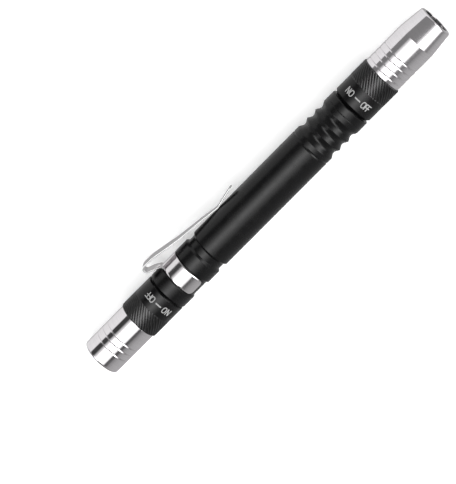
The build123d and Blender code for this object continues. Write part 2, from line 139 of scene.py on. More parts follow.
class Shade:
    """A material being built: its principled shader, and short ways to feed it."""

    def __init__(self, name, color, metallic=0.0, roughness=0.5, **constants):
        self.material = bpy.data.materials.new(name)
        self.material.use_nodes = True
        self.tree = self.material.node_tree
        self.shader = self.tree.nodes["Principled BSDF"]
        self.shader.inputs["Base Color"].default_value = (*color, 1.0)
        self.shader.inputs["Metallic"].default_value = metallic
        self.shader.inputs["Roughness"].default_value = roughness
        for socket, value in constants.items():
            self.shader.inputs[socket.replace("_", " ")].default_value = value
        self.material.diffuse_color = (*color, 1.0)

    def node(self, kind, **inputs):
        """A new node with its inputs set."""
        made = self.tree.nodes.new(kind)
        for socket, value in inputs.items():
            made.inputs[socket.replace("_", " ")].default_value = value
        return made

    def link(self, source, target):
        self.tree.links.new(source, target)

    def coordinates(self, stretch):
        """Object coordinates, scaled along each axis."""
        where = self.node("ShaderNodeTexCoord")
        mapping = self.node("ShaderNodeMapping", Scale=stretch)
        self.link(where.outputs["Object"], mapping.inputs["Vector"])
        return mapping.outputs["Vector"]

    def noise(self, scale, stretch=(1, 1, 1), detail=3.0):
        """A noise pattern, from 0 to 1."""
        made = self.node("ShaderNodeTexNoise", Scale=scale, Detail=detail, Roughness=0.5)
        self.link(self.coordinates(stretch), made.inputs["Vector"])
        return made.outputs["Fac"]

    def between(self, source, low, high):
        """A number that goes from low to high as source goes from 0.3 to 0.7."""
        made = self.node("ShaderNodeMapRange", From_Min=0.3, From_Max=0.7, To_Min=low, To_Max=high)
        self.link(source, made.inputs["Value"])
        return made.outputs["Result"]

    def colors(self, source, *stops):
        """A colour ramp of (place, colour) stops."""
        made = self.node("ShaderNodeValToRGB")
        ramp = made.color_ramp
        while len(ramp.elements) < len(stops):
            ramp.elements.new(0.5)
        for element, (place, color) in zip(ramp.elements, stops):
            element.position = place
            element.color = (*color, 1.0)
        self.link(source, made.inputs["Fac"])
        return made.outputs["Color"]

    def roughness(self, source, low, high):
        """Lets the roughness follow a pattern."""
        self.link(self.between(source, low, high), self.shader.inputs["Roughness"])

    def base_color(self, color):
        """Lets the base colour follow a colour ramp."""
        self.link(color, self.shader.inputs["Base Color"])

    def bump(self, source, depth, strength):
        """A fine grain, too small to be geometry."""
        made = self.node("ShaderNodeBump", Strength=strength, Distance=depth)
        self.link(source, made.inputs["Height"])
        self.link(made.outputs["Normal"], self.shader.inputs["Normal"])


def black_anodised(name, sheen, smoothest, roughest):
    """Aluminium anodised black: a soft sheen over a very fine grain."""
    shade = Shade(name, (0.0028, 0.0028, 0.003), roughness=roughest, Specular_IOR_Level=sheen)
    patches = shade.noise(420, detail=4.0)
    darker, lighter = (0.0024, 0.0024, 0.0026), (0.0032, 0.0032, 0.0034)
    shade.roughness(patches, smoothest, roughest)
    shade.base_color(shade.colors(patches, (0.3, darker), (0.75, lighter)))
    shade.bump(shade.noise(9000, detail=2.0), 0.006 * MM, 0.6)
    return shade.material


def bare_aluminium():
    """Turned and polished aluminium: fine rings left by the tool."""
    shade = Shade("bare_aluminium", (0.72, 0.70, 0.715), metallic=1.0, roughness=0.1)
    rings = shade.noise(60, stretch=(260, 1, 1), detail=3.0)
    shade.roughness(rings, 0.08, 0.13)
    shade.base_color(shade.colors(rings, (0.3, (0.68, 0.66, 0.677)), (0.7, (0.76, 0.738, 0.755))))
    shade.bump(rings, 0.0006 * MM, 0.5)
    return shade.material


def spring_steel():
    """Rolled stainless strip: faint lines along its length."""
    shade = Shade("spring_steel", (0.70, 0.68, 0.69), metallic=1.0, roughness=0.13)
    lines = shade.noise(900, stretch=(0.06, 1, 1), detail=3.0)
    shade.roughness(lines, 0.1, 0.17)
    shade.bump(lines, 0.0008 * MM, 0.5)
    return shade.material


def sheared_edge():
    """The strip's stamped edges: the same steel, torn matt by the punch."""
    shade = Shade("sheared_edge", (0.45, 0.45, 0.45), metallic=1.0, roughness=0.35)
    tears = shade.noise(5000, stretch=(0.2, 1, 1), detail=2.0)
    shade.roughness(tears, 0.3, 0.4)
    shade.base_color(shade.colors(tears, (0.3, (0.42, 0.42, 0.42)), (0.7, (0.48, 0.48, 0.48))))
    shade.bump(tears, 0.004 * MM, 0.5)
    return shade.material


def laser_mark():
    """The pale oxide left where a laser has burnt through the anodising."""
    shade = Shade("laser_mark", (0.32, 0.32, 0.32), roughness=0.7)
    specks = shade.noise(14000, detail=2.0)
    shade.base_color(shade.colors(specks, (0.25, (0.24, 0.24, 0.24)), (0.6, (0.36, 0.36, 0.36))))
    shade.bump(specks, 0.004 * MM, 0.5)
    return shade.material


def plain(name, color, metallic=0.0, roughness=0.5, grain=3000, depth=0.004, **constants):
    """A moulded, plated or rolled surface: one colour with a faint grain and uneven gloss."""
    shade = Shade(name, color, metallic=metallic, roughness=roughness, **constants)
    patches = shade.noise(grain, detail=3.0)
    darker = tuple(channel * 0.86 for channel in color)
    shade.base_color(shade.colors(patches, (0.3, darker), (0.7, color)))
    shade.roughness(patches, roughness * 0.85, min(1.0, roughness * 1.15))
    shade.bump(patches, depth * MM, 0.5)
    return shade.material


def clear_plastic(name, color, roughness=0.03):
    """Clear moulded plastic, with a trace of unevenness from the mould."""
    shade = Shade(name, color, roughness=roughness, Transmission_Weight=1.0, IOR=1.49)
    shade.roughness(shade.noise(800), roughness * 0.6, roughness * 1.6)
    return shade.material


def glowing(name, color, light, strength):
    """A lit surface, a little uneven, as a lamp's chip is under its dome."""
    shade = Shade(name, color, roughness=0.35)
    shade.shader.inputs["Emission Color"].default_value = (*light, 1.0)
    shade.shader.inputs["Emission Strength"].default_value = strength
    shade.roughness(shade.noise(2500), 0.28, 0.42)
    return shade.material


def circuit_board():
    """Green solder mask over glass weave."""
    shade = Shade("circuit_board", (0.02, 0.16, 0.07), roughness=0.35)
    weave = shade.noise(5200, detail=1.0)
    shade.base_color(shade.colors(weave, (0.3, (0.014, 0.12, 0.05)), (0.7, (0.03, 0.2, 0.09))))
    shade.bump(weave, 0.008 * MM, 0.4)
    return shade.material


def cell_label():
    """A printed foil label: dark, with a copper band at the capped end and no lettering."""
    dark, copper = (0.03, 0.035, 0.05), (0.62, 0.30, 0.13)
    shade = Shade("cell_label", dark, metallic=0.6, roughness=0.3)
    where = shade.node("ShaderNodeTexCoord")
    axes = shade.node("ShaderNodeSeparateXYZ")
    distance = shade.node("ShaderNodeMath")
    distance.operation = "ABSOLUTE"
    band_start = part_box("white_cell")[1].x - LABEL_BAND_LENGTH
    along = shade.node("ShaderNodeMapRange", From_Min=band_start, From_Max=band_start + LABEL_BAND_EDGE)
    shade.link(where.outputs["Object"], axes.inputs["Vector"])
    shade.link(axes.outputs["X"], distance.inputs[0])
    shade.link(distance.outputs["Value"], along.inputs["Value"])
    shade.base_color(shade.colors(along.outputs["Result"], (0.4, dark), (0.6, copper)))
    shade.roughness(shade.noise(700), 0.24, 0.38)
    return shade.material


MATERIALS = {
    "black_anodised": black_anodised("black_anodised", 0.25, 0.23, 0.29),
    "knurled_anodised": black_anodised("knurled_anodised", 0.7, 0.12, 0.17),
    "bare_aluminium": bare_aluminium(),
    "spring_steel": spring_steel(),
    "sheared_edge": sheared_edge(),
    "laser_mark": laser_mark(),
    "brass": plain("brass", (0.78, 0.56, 0.26), metallic=1.0, roughness=0.3),
    "black_rubber": plain("black_rubber", (0.018, 0.018, 0.018), roughness=0.8, depth=0.01),
    "clear_lens": clear_plastic("clear_lens", (0.98, 0.985, 0.99)),
    "plated_reflector": plain(
        "plated_reflector", (0.92, 0.92, 0.93), metallic=1.0, roughness=0.07, depth=0.001
    ),
    "uv_lamp": clear_plastic("uv_lamp", (0.80, 0.74, 1.0), roughness=0.06),
    "white_lamp": clear_plastic("white_lamp", (0.97, 0.97, 0.95), roughness=0.06),
    "uv_glow": glowing("uv_glow", (0.3, 0.1, 0.9), (0.20, 0.045, 1.0), 14.0),
    "phosphor": plain("phosphor", (0.86, 0.70, 0.14), roughness=0.6),
    "black_plastic": plain("black_plastic", (0.022, 0.022, 0.022), roughness=0.55, depth=0.01),
    "circuit_board": circuit_board(),
    "ferrite": plain("ferrite", (0.06, 0.06, 0.065), roughness=0.6, depth=0.01),
    "cell_label": cell_label(),
    "plated_steel": plain("plated_steel", (0.80, 0.80, 0.81), metallic=1.0, roughness=0.22, depth=0.002),
}


# ---------- turned pieces


def rounded(outline, corner):
    """A closed outline with every corner rounded. Each point comes back as (x, radius, its outward normal).
    A point may carry its own rounding as a third number."""
    flat = [(p[0], p[1]) for p in outline]
    area = sum(a[0] * b[1] - b[0] * a[1] for a, b in zip(flat, flat[1:] + flat[:1]))
    side = 1.0 if area > 0 else -1.0
    made = []
    for before, here, after, own in zip(flat[-1:] + flat[:-1], flat, flat[1:] + flat[:1], outline):
        came = Vector((here[0] - before[0], here[1] - before[1]))
        goes = Vector((after[0] - here[0], after[1] - here[1]))
        turn = -came.angle_signed(goes)
        first = Vector((came.y, -came.x)).normalized() * side
        wanted = own[2] if len(own) > 2 else corner
        room = ROUNDABLE_SHARE * min(came.length, goes.length)
        if here[1] < ON_AXIS or abs(turn) < ALMOST_STRAIGHT:
            made.append((here[0], here[1], first))
            continue
        cut = min(room, wanted * tan(abs(turn) / 2))
        radius = cut / tan(abs(turn) / 2)
        bend = 1.0 if turn > 0 else -1.0
        start = Vector(here) - came.normalized() * cut
        inward = Vector((-came.y, came.x)).normalized() * bend
        centre = start + inward * radius
        steps = max(2, int(abs(turn) / ROUND_STEP)) if wanted > corner else CORNER_STEPS
        for step in range(steps + 1):
            angle = turn * step / steps
            spoke = Matrix.Rotation(angle, 2) @ (-inward * radius)
            normal = Matrix.Rotation(angle, 2) @ first
            made.append((centre.x + spoke.x, centre.y + spoke.y, normal))
    return made


def finish_mesh(name, verts, faces, normals=None, materials=()):
    """A mesh object from lists, with its faces turned outwards and the normals given."""
    mesh = bpy.data.meshes.new(name)
    mesh.from_pydata(verts, [], faces)
    work = bmesh.new()
    work.from_mesh(mesh)
    bmesh.ops.recalc_face_normals(work, faces=work.faces)
    work.to_mesh(mesh)
    work.free()
    mesh.polygons.foreach_set("use_smooth", [True] * len(mesh.polygons))
    for material in materials:
        mesh.materials.append(material)
    if normals is not None:
        mesh.normals_split_custom_set_from_vertices(normals)
    piece = bpy.data.objects.new(name, mesh)
    bpy.context.scene.collection.objects.link(piece)
    return piece


def slopes(relief, x, angle):
    """How steeply a relief's depth grows along X and round the axis."""
    step, swing = 0.01 * MM, 0.002
    along = (relief(x + step, angle) - relief(x - step, angle)) / (2 * step)
    around = (relief(x, angle + swing) - relief(x, angle - swing)) / (2 * swing)
    return along, around


def ring_faces(starts, poles, segments):
    """The faces between neighbouring rings of a closed outline, where a ring on the axis is one point."""
    faces = []
    for j, k in zip(range(len(starts)), [*range(1, len(starts)), 0]):
        if poles[j] and poles[k]:
            continue
        for i in range(segments):
            n = (i + 1) % segments
            a, b = starts[j] + (0 if poles[j] else i), starts[j] + (0 if poles[j] else n)
            c, d = starts[k] + (0 if poles[k] else n), starts[k] + (0 if poles[k] else i)
            if poles[j]:
                faces.append((a, c, d))
            elif poles[k]:
                faces.append((a, b, c))
            else:
                faces.append((a, b, c, d))
    return faces


def lathe(name, outline, material, corner=CORNER, segments=SEGMENTS, relief=None, above=0.0, twist=None):
    """A turned piece about X from a closed outline. relief(x, angle) is cut into outward faces beyond the
    radius 'above', and twist(x) turns each ring of points, so that the mesh runs along a spiral relief."""
    rings = rounded(outline, corner)
    verts, normals, starts = [], [], []
    for x, radius, normal in rings:
        starts.append(len(verts))
        if radius < ON_AXIS:
            verts.append((x, 0.0, 0.0))
            normals.append((1.0 if normal.x > 0 else -1.0, 0.0, 0.0))
            continue
        turned_by = twist(x) if twist else 0.0
        carved = relief is not None and radius > above and normal.y > 0.2
        for number in range(segments):
            angle = 2 * pi * number / segments + turned_by
            r, along, out, around = radius, normal.x, normal.y, 0.0
            if carved:
                slope_x, slope_a = slopes(relief, x, angle)
                r = radius - relief(x, angle)
                along, out, around = normal.x / normal.y + slope_x, 1.0, slope_a / r
            size = sqrt(along * along + out * out + around * around)
            c, s = cos(angle), sin(angle)
            verts.append((x, r * c, r * s))
            normals.append((along / size, (out * c - around * s) / size, (out * s + around * c) / size))
    faces = ring_faces(starts, [radius < ON_AXIS for _, radius, _ in rings], segments)
    return finish_mesh(name, verts, faces, normals, [material])


def stand_for(piece, node, body):
    """The piece replaces a CAD node and rides on its body."""
    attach(piece, body)
    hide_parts(node)
    return piece


def straight(x0, x1, radius, count):
    """Points evenly spaced along a straight stretch, ends left out."""
    return [(x0 + (x1 - x0) * n / count, radius) for n in range(1, count)]


# ---------- the barrel

NECK_RADIUS = 6.2 * MM
BORE_RADIUS = 5.45 * MM
RELIEF_RADIUS = 5.8 * MM
RELIEF_LENGTH = 0.6 * MM
SEAL_FROM_SHOULDER = 1.9 * MM
SEAL_WIDTH = 0.7 * MM
SEAL_DEPTH = 0.5 * MM
EDGE = 0.2 * MM
UV_SHOULDER = at(30.4)
WHITE_SHOULDER = at(111.0)
BAND_GROOVE_GAP = 0.35 * MM
BAND_GROOVE_DEPTH = 0.5 * MM
WAIST_START = at(46.0)
WAIST_END = at(49.6)
WAIST_CHAMFER = 0.7 * MM
WAIST_CORNER = 0.12 * MM
FINE_GROOVE = at(93.6)
FINE_GROOVE_HALF_WIDTH = 0.4 * MM
FINE_GROOVE_DEPTH = 0.2 * MM
SCRIBED_LINE = at(108.5)
SCRIBED_HALF_WIDTH = 0.15 * MM
SCRIBED_DEPTH = 0.12 * MM
GRIP_START = at(97.5)
GRIP_PITCH = 3.65 * MM
GRIP_RIDGES = [0.5 * MM, 0.1 * MM, 0.1 * MM, 0.5 * MM]
GRIP_FLANKS_MEET = 5.86 * MM
GRIP_FLOOR_ROUND = 1.65 * MM
THREAD_PITCH = 0.75 * MM
THREAD_DEPTH = 0.28 * MM
THREAD_LEAD_IN = 1.2 * MM
THREAD_LENGTH = 6 * THREAD_PITCH
THREAD_ROWS = 60
FLANK_SHARE = 0.25


def thread_depth(distance, angle):
    """A right-hand thread's depth at a distance along it, as a trapezium with flats at crest and root."""
    phase = (distance / THREAD_PITCH - angle / (2 * pi)) % 1.0
    rise = abs(phase - 0.5) * 2
    return THREAD_DEPTH * min(1.0, max(0.0, (1 - rise - FLANK_SHARE) / (1 - 2 * FLANK_SHARE)))


def neck_outline(end, shoulder, outward):
    """A threaded neck's outline, from its relief at the shoulder to its bore."""
    seal = shoulder + outward * SEAL_FROM_SHOULDER
    seal_end = seal + outward * SEAL_WIDTH
    thread_end = end - outward * THREAD_LEAD_IN
    thread_start = thread_end - outward * THREAD_LENGTH
    return [
        (shoulder, RELIEF_RADIUS),
        (shoulder + outward * RELIEF_LENGTH, NECK_RADIUS),
        (seal, NECK_RADIUS),
        (seal, NECK_RADIUS - SEAL_DEPTH),
        (seal_end, NECK_RADIUS - SEAL_DEPTH),
        (seal_end, NECK_RADIUS),
        *straight(thread_start, thread_end, NECK_RADIUS, THREAD_ROWS),
        (end - outward * EDGE, NECK_RADIUS),
        (end, NECK_RADIUS - EDGE),
        (end, BORE_RADIUS),
    ]


def grip_outline():
    """Three grooves with round floors, which meet in narrow ridges."""
    points = []
    for number, rounding in enumerate(GRIP_RIDGES):
        groove = GRIP_START + number * GRIP_PITCH
        points.append((groove - GRIP_PITCH / 2, PEN_RADIUS, rounding))
        points.append((groove, GRIP_FLANKS_MEET, GRIP_FLOOR_ROUND))
    return points[:-1]


def v_groove(middle, half_width, depth, radius):
    """A shallow groove turned in a wall."""
    return [(middle - half_width, radius), (middle, radius - depth), (middle + half_width, radius)]


def make_barrel():
    """The anodised tube, with its clip groove, waist, grip grooves and threaded necks."""
    low, high = BARREL_LOW, BARREL_HIGH
    groove_low, groove_high = BAND_LOW - BAND_GROOVE_GAP, BAND_HIGH + BAND_GROOVE_GAP
    outline = [
        *neck_outline(low, UV_SHOULDER, -1)[::-1],
        (UV_SHOULDER, PEN_RADIUS - EDGE),
        (UV_SHOULDER + EDGE, PEN_RADIUS),
        (groove_low - EDGE, PEN_RADIUS),
        (groove_low, PEN_RADIUS - EDGE),
        (groove_low, PEN_RADIUS - BAND_GROOVE_DEPTH),
        (groove_high, PEN_RADIUS - BAND_GROOVE_DEPTH),
        (groove_high, PEN_RADIUS - EDGE),
        (groove_high + EDGE, PEN_RADIUS),
        (WAIST_START, PEN_RADIUS),
        (WAIST_START + WAIST_CHAMFER, PEN_RADIUS - WAIST_CHAMFER, WAIST_CORNER),
        (WAIST_END - WAIST_CHAMFER, PEN_RADIUS - WAIST_CHAMFER, WAIST_CORNER),
        (WAIST_END, PEN_RADIUS),
        *v_groove(FINE_GROOVE, FINE_GROOVE_HALF_WIDTH, FINE_GROOVE_DEPTH, PEN_RADIUS),
        *grip_outline(),
        *v_groove(SCRIBED_LINE, SCRIBED_HALF_WIDTH, SCRIBED_DEPTH, PEN_RADIUS),
        (WHITE_SHOULDER - EDGE, PEN_RADIUS),
        (WHITE_SHOULDER, PEN_RADIUS - EDGE),
        *neck_outline(high, WHITE_SHOULDER, 1),
    ]

    def threads(x, angle):
        """Both necks' threads, which run out over half a pitch at each end."""
        for end, outward in ((low, -1), (high, 1)):
            inside = (end - x) * outward - THREAD_LEAD_IN
            if 0 < inside < THREAD_LENGTH:
                fade = min(1.0, min(inside, THREAD_LENGTH - inside) / (0.5 * THREAD_PITCH))
                return fade * thread_depth(x, angle)
        return 0.0

    black = MATERIALS["black_anodised"]
    barrel = lathe("barrel", outline, black, relief=threads, above=NECK_RADIUS - 0.01 * MM)
    return stand_for(barrel, "barrel_tube", "barrel")


# ---------- switch rings and their marks

KNURL_LENGTH = 6.4 * MM
RING_BAND_RADIUS = 6.95 * MM
RING_SEAT_RADIUS = 6.0 * MM
RING_SEAT_LENGTH = 1.4 * MM
RING_EDGE = 0.3 * MM
UV_CHAMFER = 0.15 * MM
WHITE_CHAMFER = 0.55 * MM
SEAL_CLEARANCE = 0.04 * MM
KNURL_STEP = 0.05 * MM
KNURLED_BEYOND = RING_BAND_RADIUS - 0.2 * MM
KNURL_STARTS = 39
KNURL_SAMPLES = 14
KNURL_ROWS = 26
KNURL_DEPTH = 0.32 * MM
KNURL_RUN_IN = 0.2 * MM
KNURL_LEAN = tan(radians(41)) / PEN_RADIUS
MARK_HEIGHT = 2.22 * MM
MARK_STROKE = 0.3 * MM
MARK_PROUD = 0.012 * MM
MARK_SUNK = 0.03 * MM
CUT_EVERY = 0.25 * MM
O_POINTS = 40
SQUARENESS = 0.8


def letter_n(width, height, stroke):
    """The outline of an N, its middle at the origin."""
    w, h, s = width / 2, height / 2, stroke
    lean = s * 1.25
    return [[
        (-w, -h), (-w + s, -h), (-w + s, h - lean * 1.9), (w - s, -h), (w, -h),
        (w, h), (w - s, h), (w - s, -h + lean * 1.9), (-w + s, h), (-w, h),
    ]]


def letter_f(width, height, stroke):
    """The outline of an F, its middle at the origin."""
    w, h, s = width / 2, height / 2, stroke
    return [[
        (-w, -h), (-w + s, -h), (-w + s, -s * 0.6), (w * 0.75, -s * 0.6), (w * 0.75, s * 0.4),
        (-w + s, s * 0.4), (-w + s, h - s), (w, h - s), (w, h), (-w, h),
    ]]


def letter_o(width, height, stroke):
    """An O as two loops: a rounded outline and the hole in it."""
    loops = []
    for inset in (0.0, stroke):
        w, h = width / 2 - inset, height / 2 - inset
        loop = []
        for step in range(O_POINTS):
            angle = 2 * pi * step / O_POINTS
            c, s = cos(angle), sin(angle)
            across = w * abs(c) ** SQUARENESS * (1 if c > 0 else -1)
            loop.append((across, h * abs(s) ** SQUARENESS * (1 if s > 0 else -1)))
        loops.append(loop)
    return loops


def dash(width, height, stroke):
    """A plain bar."""
    w, s = width / 2, stroke * 0.7
    return [[(-w, -s), (w, -s), (w, s), (-w, s)]]


def mark_shape(work, loops, centre):
    """Adds one letter to the work mesh, flat, its middle at centre along the line of reading."""
    edges = []
    for loop in loops:
        corners = [work.verts.new((x + centre, y, 0)) for x, y in loop]
        edges += [work.edges.new(pair) for pair in zip(corners, corners[1:] + corners[:1])]
    bmesh.ops.triangle_fill(work, edges=edges, use_beauty=True)


# The signs in reading order with their widths, and the degree where each stands round its ring.
MARKS = [
    (letter_n, 1.4 * MM),
    (letter_o, 1.45 * MM),
    (dash, 2.1 * MM),
    (letter_o, 1.45 * MM),
    (letter_f, 1.05 * MM),
    (letter_f, 1.05 * MM),
]
UV_MARK_ANGLES = [-44.0, -30.5, -9.6, 12.0, 22.4, 31.2]
WHITE_MARK_ANGLES = [-35.0, -22.3, 0.0, 20.5, 30.5, 38.3]


def make_marks(head, angles, middle_u):
    """ON and OFF with a bar between, wrapped round a switch ring's plain band.
    The letters' tops point to the head's own tip."""
    work = bmesh.new()
    for (shape, width), angle in zip(MARKS, angles):
        mark_shape(work, shape(width, MARK_HEIGHT, MARK_STROKE), radians(angle) * RING_BAND_RADIUS)
    reach = max(abs(v.co.x) for v in work.verts)
    cuts = int(reach / CUT_EVERY)
    for number in range(-cuts, cuts + 1):
        geometry = work.verts[:] + work.edges[:] + work.faces[:]
        cut = (number * CUT_EVERY, 0, 0)
        bmesh.ops.bisect_plane(work, geom=geometry, plane_co=cut, plane_no=(1, 0, 0), dist=1e-7)
    top = bmesh.ops.extrude_face_region(work, geom=work.faces[:])["geom"]
    raised = {item for item in top if isinstance(item, bmesh.types.BMVert)}
    facing = radians(90 - CAMERA_ROLL)
    for vert in work.verts:
        reading, up = vert.co.x, vert.co.y
        radius = RING_BAND_RADIUS + (MARK_PROUD if vert in raised else -MARK_SUNK)
        angle = facing + head.outward * reading / RING_BAND_RADIUS
        vert.co = (head.place(middle_u + up), radius * cos(angle), radius * sin(angle))
    bmesh.ops.recalc_face_normals(work, faces=work.faces)
    mesh = bpy.data.meshes.new(f"{head.name}_marks")
    work.to_mesh(mesh)
    work.free()
    mesh.materials.append(MATERIALS["laser_mark"])
    marks = bpy.data.objects.new(f"{head.name}_switch_marks", mesh)
    bpy.context.scene.collection.objects.link(marks)
    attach(marks, head.body)
    return marks


def make_switch_ring(head):
    """The knurled ring: straight lines at a slant, cut with one tool, and a plain band for the marks."""
    knurl_start, knurl_end = head.ring_length - KNURL_LENGTH, head.ring_length
    lean = -KNURL_LEAN * head.outward
    chamfer = WHITE_CHAMFER if head is WHITE else UV_CHAMFER
    bore = radius_of(f"{head.name}_neck_seal") + SEAL_CLEARANCE
    seat = head.near("bezel") - RING_SEAT_LENGTH

    def twist(x):
        """How far the knurl's lines have turned at x."""
        u = (x - head.inner_edge) * head.outward
        return lean * (min(max(u, knurl_start), knurl_end) - knurl_start)

    def knurl(x, angle):
        """The knurl's depth: round-topped ridges with sharp valleys between."""
        u = (x - head.inner_edge) * head.outward
        fade = min(1.0, max(0.0, (u - knurl_start) / KNURL_RUN_IN))
        phase = KNURL_STARTS * (angle - twist(x))
        return KNURL_DEPTH * fade * (1 - abs(cos(phase / 2)))

    outline = [
        (0, bore),
        (0, RING_BAND_RADIUS - chamfer),
        (chamfer, RING_BAND_RADIUS),
        (knurl_start, RING_BAND_RADIUS),
        (knurl_start + KNURL_STEP, PEN_RADIUS),
        *straight(knurl_start + KNURL_STEP, knurl_end - RING_EDGE, PEN_RADIUS, KNURL_ROWS),
        (knurl_end - RING_EDGE, PEN_RADIUS),
        (knurl_end, PEN_RADIUS - RING_EDGE),
        (knurl_end, RING_SEAT_RADIUS),
        (seat, RING_SEAT_RADIUS),
        (seat, bore),
    ]
    ring = lathe(
        f"{head.name}_switch_ring_knurled",
        head.outline(outline),
        MATERIALS["black_anodised"],
        segments=KNURL_STARTS * KNURL_SAMPLES,
        relief=knurl,
        above=KNURLED_BEYOND,
        twist=twist,
    )
    ring.data.materials.append(MATERIALS["knurled_anodised"])
    for face in ring.data.polygons:
        u = (face.center.x - head.inner_edge) * head.outward
        if u > knurl_start and face.normal.yz.length > 0.5:
            face.material_index = 1
    return stand_for(ring, f"{head.name}_switch_ring", head.body)


# ---------- noses, lenses and lamps

HOLLOW_RADIUS = 5.3 * MM
RIM_ROUND = 0.9 * MM
LIP_ROUND = 0.12 * MM
TAPER_ROUND = 0.05 * MM
FIT = 0.02 * MM
NOSE_GROOVE_HALF_WIDTH = 0.25 * MM
NOSE_GROOVE_DEPTH = 0.16 * MM
LENS_DOME = 0.25 * MM
LENS_CORNER = 0.05 * MM
LENS_RINGS = 10
BOWL_NECK = 2.55 * MM
BOWL_RIM = 0.3 * MM
BOWL_START_SHARE = 0.42
BOWL_CORNER = 0.03 * MM
BOWL_RINGS = 24
LAMP_RADIUS = 2.5 * MM
LAMP_FLANGE_RADIUS = 2.9 * MM
LAMP_FLANGE_LENGTH = 1.0 * MM
CHIP_BEHIND_DOME = 0.4 * MM
LEAD_HALF_WIDTH = 0.25 * MM
LEAD_OFF_AXIS = 1.27 * MM
SEAL_POINTS = 20
SMALL_CORNER = 0.02 * MM
HARDLY_ANY_CORNER = 0.0001 * MM
# The lamp's post and cup, and the chip in it, in mm: distance from the cup's rim, and radius.
LAMP_CUP = [(-2.6, 0), (-2.6, 0.45), (-0.9, 0.5), (0, 0.95), (0, 0.8), (-0.5, 0.5), (-0.5, 0)]
LAMP_CHIP = [(-0.48, 0), (-0.48, 0.48), (-0.06, 0.74), (0, 0)]


def make_bezel(head, grooves, taper, rim_radius, aperture):
    """A bare aluminium nose, with its fine grooves, its rounded rim and the lip that holds the lens."""
    tail, reach, ring_end = head.near("bezel"), head.reach, head.ring_length
    lip = head.far("lens_seal")
    front = radius_of(f"{head.name}_lens") + FIT
    outline = [
        (tail, HOLLOW_RADIUS),
        (tail, RING_SEAT_RADIUS),
        (ring_end, RING_SEAT_RADIUS),
        (ring_end, BEZEL_RADIUS),
    ]
    for from_tip in grooves:
        middle = reach - from_tip * MM
        outline += v_groove(middle, NOSE_GROOVE_HALF_WIDTH, NOSE_GROOVE_DEPTH, BEZEL_RADIUS)
    outline += [
        (reach - taper, BEZEL_RADIUS, TAPER_ROUND),
        (reach, rim_radius, RIM_ROUND),
        (reach, aperture, LIP_ROUND),
        (lip, aperture),
        (lip, front),
    ]
    if front < HOLLOW_RADIUS:
        step = head.near("reflector") + FIT
        outline += [(step, front), (step, HOLLOW_RADIUS)]
    bezel = lathe(f"{head.name}_nose", head.outline(outline), MATERIALS["bare_aluminium"], segments=256)
    return stand_for(bezel, f"{head.name}_bezel", head.body)


def make_lens(head):
    """The clear disc, with a slightly domed front."""
    back, front = head.near("lens"), head.far("lens")
    radius = radius_of(f"{head.name}_lens")
    points = [(back, 0), (back, radius), (front - LENS_DOME, radius)]
    for step in range(1, LENS_RINGS):
        share = 1 - step / LENS_RINGS
        points.append((front - LENS_DOME * share * share, radius * share))
    points.append((front, 0))
    outline, clear = head.outline(points), MATERIALS["clear_lens"]
    lens = lathe(f"{head.name}_lens_disc", outline, clear, corner=LENS_CORNER, segments=96)
    return stand_for(lens, f"{head.name}_lens", head.body)


def make_reflector(head):
    """The plated bowl: a parabola from the lamp's neck to the rim."""
    back, front = head.near("reflector"), head.far("reflector")
    radius = radius_of(f"{head.name}_reflector")
    neck, rim = BOWL_NECK, radius - BOWL_RIM
    bowl_start = back + (front - back) * BOWL_START_SHARE
    bowl = []
    for step in range(BOWL_RINGS + 1):
        share = step / BOWL_RINGS
        bowl.append((bowl_start + (front - bowl_start) * share, neck + (rim - neck) * sqrt(share)))
    outline = head.outline([(front, radius), (back, radius), (back, neck), *bowl])
    plated = MATERIALS["plated_reflector"]
    cup = lathe(f"{head.name}_bowl", outline, plated, corner=BOWL_CORNER, segments=128)
    return stand_for(cup, f"{head.name}_reflector", head.body)


def make_lamp(head):
    """A 5 mm lamp: clear dome and flange, with the chip on its post inside and two leads behind."""
    name = head.name
    seat = head.near("reflector")
    flange = seat - LAMP_FLANGE_LENGTH
    dome = head.far("led") - LAMP_RADIUS
    cap = [
        (dome + LAMP_RADIUS * sin(radians(angle)), LAMP_RADIUS * cos(radians(angle)))
        for angle in range(0, 90, 9)
    ]
    outline = [
        (flange, 0),
        (flange, LAMP_FLANGE_RADIUS),
        (seat, LAMP_FLANGE_RADIUS),
        (seat, LAMP_RADIUS),
        *cap,
        (head.far("led"), 0),
    ]
    glass = lathe(f"{name}_lamp_dome", head.outline(outline), MATERIALS[f"{name}_lamp"], segments=96)
    stand_for(glass, f"{name}_led", head.body)
    rim = dome - CHIP_BEHIND_DOME
    lit = "uv_glow" if head is UV else "phosphor"
    for part, points, finish, slot in (
        ("cup", LAMP_CUP, "plated_steel", "plated_steel"),
        ("chip", LAMP_CHIP, lit, f"{name}_lamp"),
    ):
        outline = head.outline([(rim + depth * MM, radius * MM) for depth, radius in points])
        inner = lathe(f"{name}_lamp_{part}", outline, MATERIALS[finish], corner=SMALL_CORNER, segments=48)
        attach(inner, head.body)
    back = head.far("driver_board")
    for side, height in (("far", -LEAD_OFF_AXIS), ("near", LEAD_OFF_AXIS)):
        lead = make_lead(f"{name}_lead_{side}", head, back, flange, height)
        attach(lead, head.body)


def make_lead(name, head, back, front, height):
    """One of a lamp's two square leads."""
    half = LEAD_HALF_WIDTH
    x0, x1 = sorted((head.place(back), head.place(front)))
    square = ((-1, -1), (1, -1), (1, 1), (-1, 1))
    corners = [(x, y * half, height + z * half) for x in (x0, x1) for y, z in square]
    faces = [(0, 1, 2, 3), (4, 5, 6, 7), (0, 1, 5, 4), (1, 2, 6, 5), (2, 3, 7, 6), (3, 0, 4, 7)]
    lead = finish_mesh(name, corners, faces, materials=[MATERIALS["plated_steel"]])
    lead.data.polygons.foreach_set("use_smooth", [False] * len(faces))
    return lead


